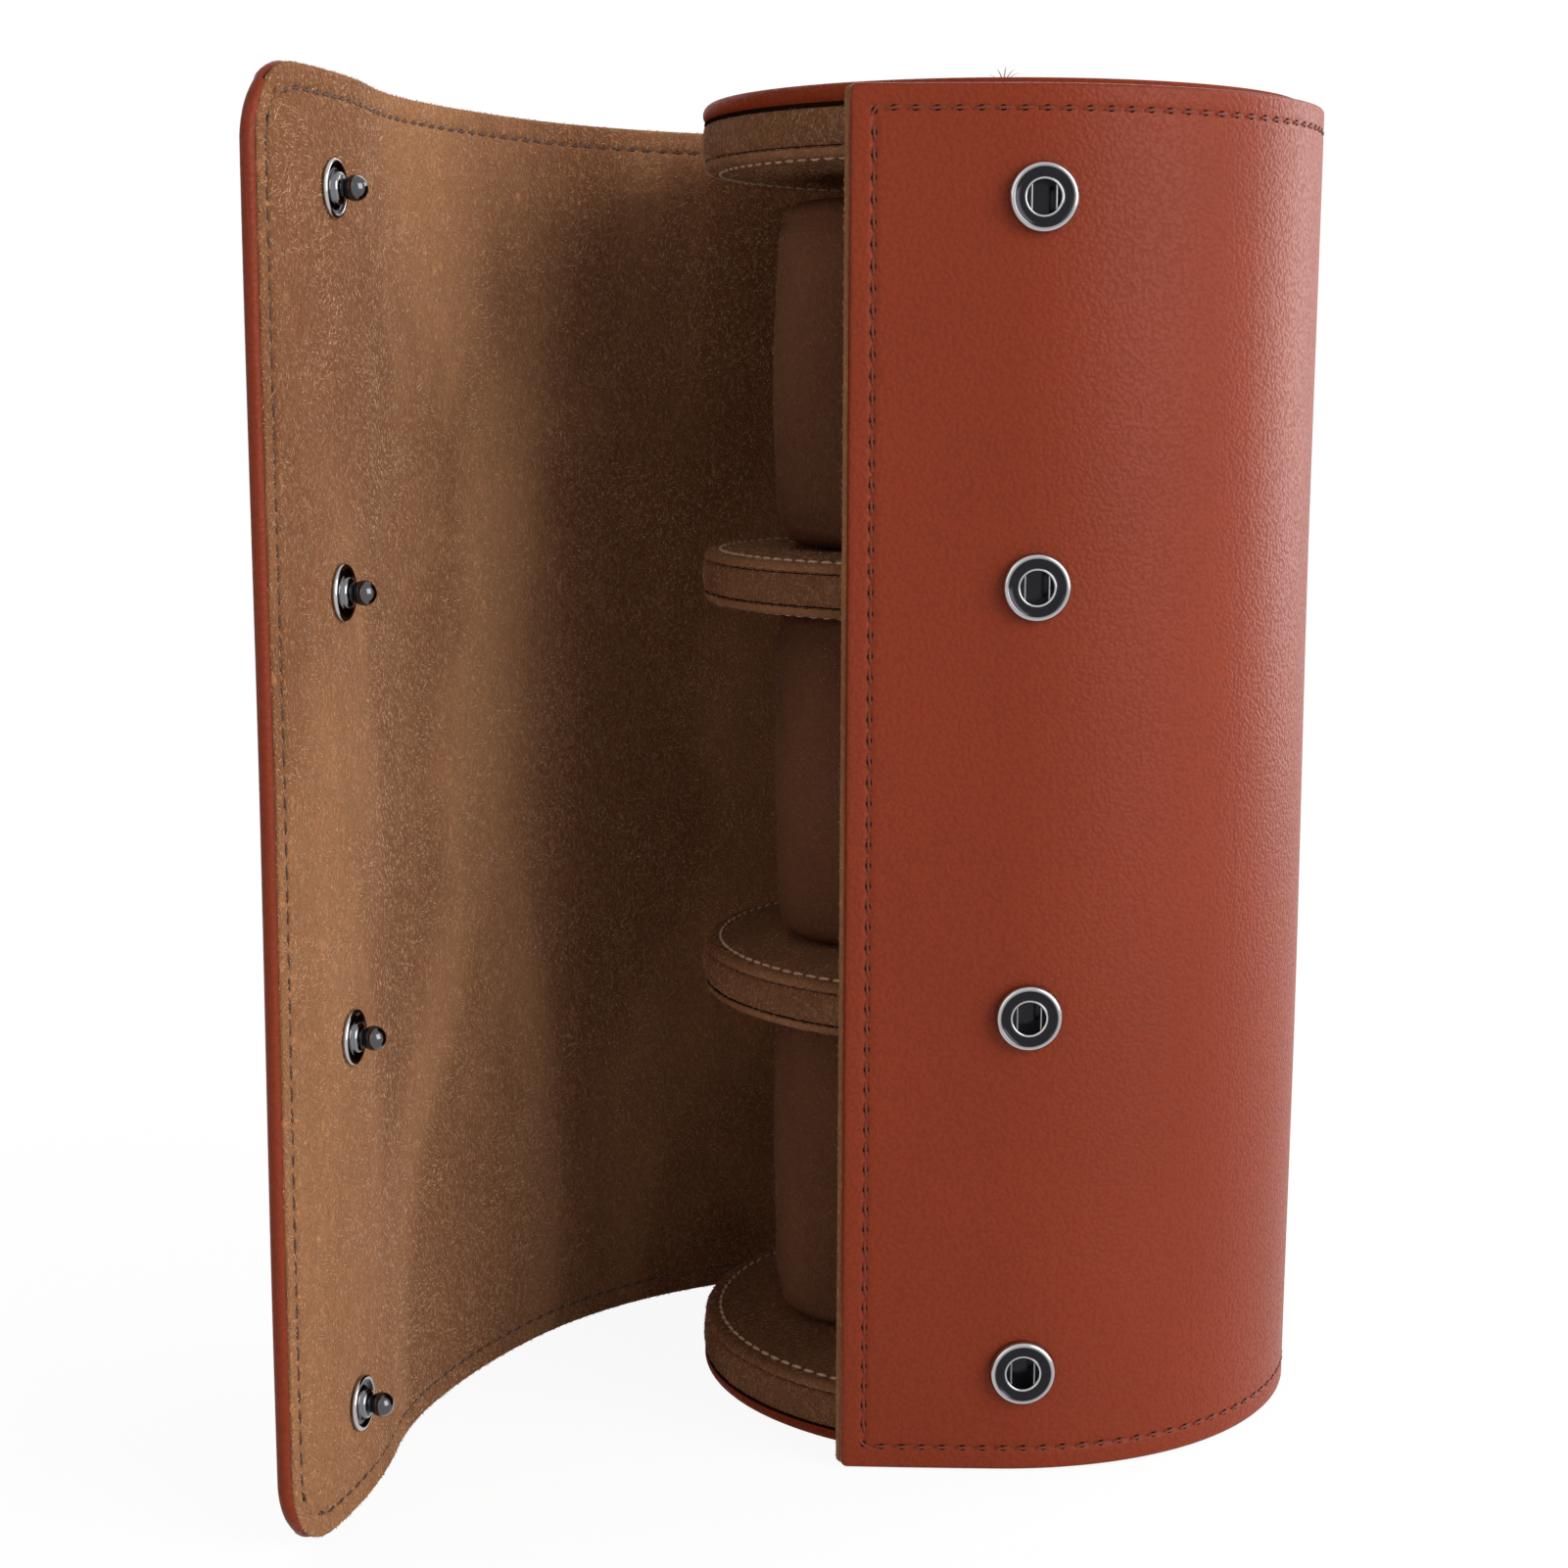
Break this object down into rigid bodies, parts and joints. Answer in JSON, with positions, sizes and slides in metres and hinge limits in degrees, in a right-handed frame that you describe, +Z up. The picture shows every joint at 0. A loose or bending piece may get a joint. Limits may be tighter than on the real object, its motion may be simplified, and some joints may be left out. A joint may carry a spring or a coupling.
{
  "type": "watch travel case",
  "caption": "Upright cylindrical watch roll with a wrap-around leather flap on snap fasteners, round dividers and a cushion pillow in each compartment.",
  "frame": {"origin": "centre of the bottom cap's outer face, on the surface that the case stands on", "axes": "+Z up the roll, -Y towards the front panel with the sockets, +X away from the open flap"},
  "size_m": [0.1487, 0.1344, 0.2012],
  "materials": {
    "leather": "fine-grained coated leather with a soft sheen",
    "suede": "brushed suede microfibre with a visible nap",
    "board": "pressed grey board",
    "foam": "soft open foam",
    "gunmetal": "polished black nickel",
    "spring_steel": "bright drawn wire"
  },
  "bodies": {
    "case": {"shell_leather": "leather", "top_cap_cover": "leather", "bottom_cap_cover": "leather", "shell_lining": "suede", "top_cap_band": "suede", "top_cap_facing": "suede", "upper_divider_band": "suede", "upper_divider_facings": "suede", "lower_divider_band": "suede", "lower_divider_facings": "suede", "bottom_cap_band": "suede", "bottom_cap_facing": "suede", "top_cap_core": "board", "upper_divider_core": "board", "lower_divider_core": "board", "bottom_cap_core": "board"},
    "flap_1": {"flap_1_leather": "leather", "flap_1_lining": "suede"},
    "flap_2": {"flap_2_leather": "leather", "flap_2_lining": "suede"},
    "flap_3": {"flap_3_leather": "leather", "flap_3_lining": "suede"},
    "flap_4": {"flap_4_leather": "leather", "flap_4_lining": "suede"},
    "flap_tip": {"flap_tip_leather": "leather", "flap_tip_lining": "suede", "snap_studs": "gunmetal", "snap_buttons": "gunmetal"},
    "front_panel": {"front_panel_leather": "leather", "front_panel_lining": "suede", "snap_sockets": "gunmetal", "snap_springs": "spring_steel", "snap_eyelets": "gunmetal"},
    "top_pillow": {"top_pillow_wrap": "suede", "top_pillow_ends": "suede", "top_pillow_core": "foam"},
    "middle_pillow": {"middle_pillow_wrap": "suede", "middle_pillow_ends": "suede", "middle_pillow_core": "foam"},
    "bottom_pillow": {"bottom_pillow_wrap": "suede", "bottom_pillow_ends": "suede", "bottom_pillow_core": "foam"}
  },
  "joints": [
    {"name": "flap_fold", "type": "hinge", "parent": "case", "child": "flap_1", "pos_m": [-0.02342, 0.04236, 0.1], "axis": [0, 0, 1], "range_deg": [-6, 26.8]},
    {"name": "flap_fold_2", "type": "hinge", "parent": "flap_1", "child": "flap_2", "pos_m": [-0.05265, 0.02967, 0.1], "axis": [0, 0, 1], "range_deg": [-2.5, 11.2]},
    {"name": "flap_fold_3", "type": "hinge", "parent": "flap_2", "child": "flap_3", "pos_m": [-0.0744, 0.00539, 0.1], "axis": [0, 0, 1], "range_deg": [-1.4, 6.1]},
    {"name": "flap_fold_4", "type": "hinge", "parent": "flap_3", "child": "flap_4", "pos_m": [-0.08707, -0.0255, 0.1], "axis": [0, 0, 1], "range_deg": [-6.1, 27]},
    {"name": "flap_tip_press", "type": "hinge", "parent": "flap_4", "child": "flap_tip", "pos_m": [-0.08975, -0.04545, 0.1], "axis": [0, 0, 1], "range_deg": [-5, 33.83]},
    {"name": "panel_fold", "type": "hinge", "parent": "case", "child": "front_panel", "pos_m": [0.02062, -0.04423, 0.1], "axis": [0, 0, -1], "range_deg": [-50, 0]},
    {"name": "top_pillow_slide", "type": "slide", "parent": "case", "child": "top_pillow", "axis": [0.866, 0.5, 0], "range_m": [-0.05, 0]},
    {"name": "middle_pillow_slide", "type": "slide", "parent": "case", "child": "middle_pillow", "axis": [0.866, 0.5, 0], "range_m": [-0.05, 0]},
    {"name": "bottom_pillow_slide", "type": "slide", "parent": "case", "child": "bottom_pillow", "axis": [0.866, 0.5, 0], "range_m": [-0.05, 0]}
  ],
  "couplings": [
    {"joint": "flap_fold_2", "follows": "flap_fold", "ratio": 0.415},
    {"joint": "flap_fold_3", "follows": "flap_fold", "ratio": 0.225},
    {"joint": "flap_fold_4", "follows": "flap_fold", "ratio": 1.0034}
  ]
}
